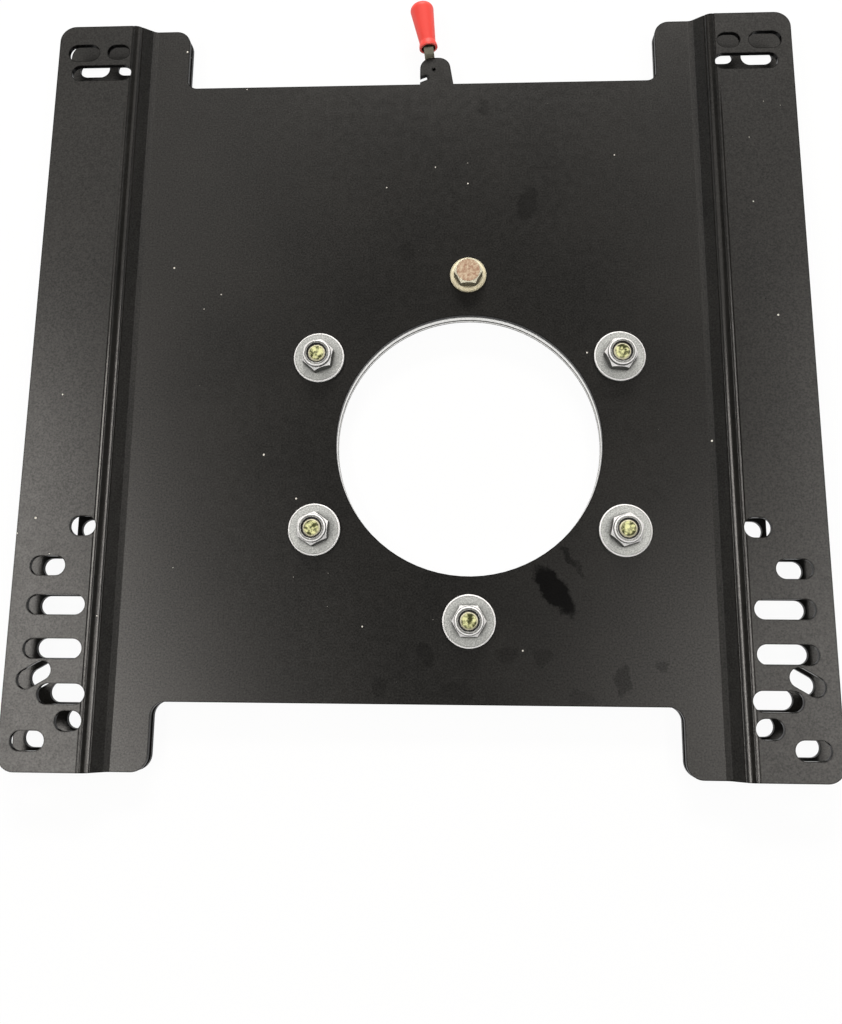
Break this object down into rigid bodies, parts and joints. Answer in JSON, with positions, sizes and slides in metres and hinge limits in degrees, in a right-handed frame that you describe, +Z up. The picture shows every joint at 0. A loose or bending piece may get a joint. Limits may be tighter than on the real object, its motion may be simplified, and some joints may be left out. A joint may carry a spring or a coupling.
{
  "type": "swivel seat base",
  "caption": "Swivel base for a vehicle seat: slotted upper plate with raised flanges turns on an offset hub over a matching lower plate and locks with a red-gripped lever.",
  "frame": {"origin": "on the swivel axis, at the top face of the upper plate's middle", "axes": "+Z up along the swivel axis, +Y to the front where the lever sticks out, +X to the right seen from above with the front ahead"},
  "size_m": [0.46, 0.472, 0.0265],
  "materials": {
    "black_coat": "satin black powder coat on sheet steel",
    "bright_zinc": "bright zinc plating on steel",
    "yellow_zinc": "yellow zinc plating on steel",
    "nylon": "natural nylon",
    "dark_nylon": "dark dyed nylon",
    "lever_steel": "dark plated steel",
    "red_plastic": "moulded red plastic"
  },
  "bodies": {
    "base": {"lower_plate": "black_coat"},
    "seat_side": {"upper_plate": "black_coat", "hub_ring": "bright_zinc", "retaining_ring": "bright_zinc", "upper_glide_ring": "nylon", "lower_glide_ring": "nylon", "ring_studs": "yellow_zinc", "ring_washers": "bright_zinc", "ring_nuts": "bright_zinc", "nut_inserts": "dark_nylon", "pivot_bush": "bright_zinc", "flange_bolt": "yellow_zinc"},
    "lever": {"lever_arm": "lever_steel", "latch_tooth": "lever_steel", "latch_rivets": "bright_zinc", "lever_grip": "red_plastic"}
  },
  "joints": [
    {"name": "swivel", "type": "hinge", "parent": "base", "child": "seat_side", "pos_m": [0, 0, 0], "axis": [0, 0, 1], "continuous": true},
    {"name": "lever_turn", "type": "hinge", "parent": "seat_side", "child": "lever", "pos_m": [0, 0.1026, 0], "axis": [0, 0, 1], "range_deg": [-9, 0]}
  ]
}
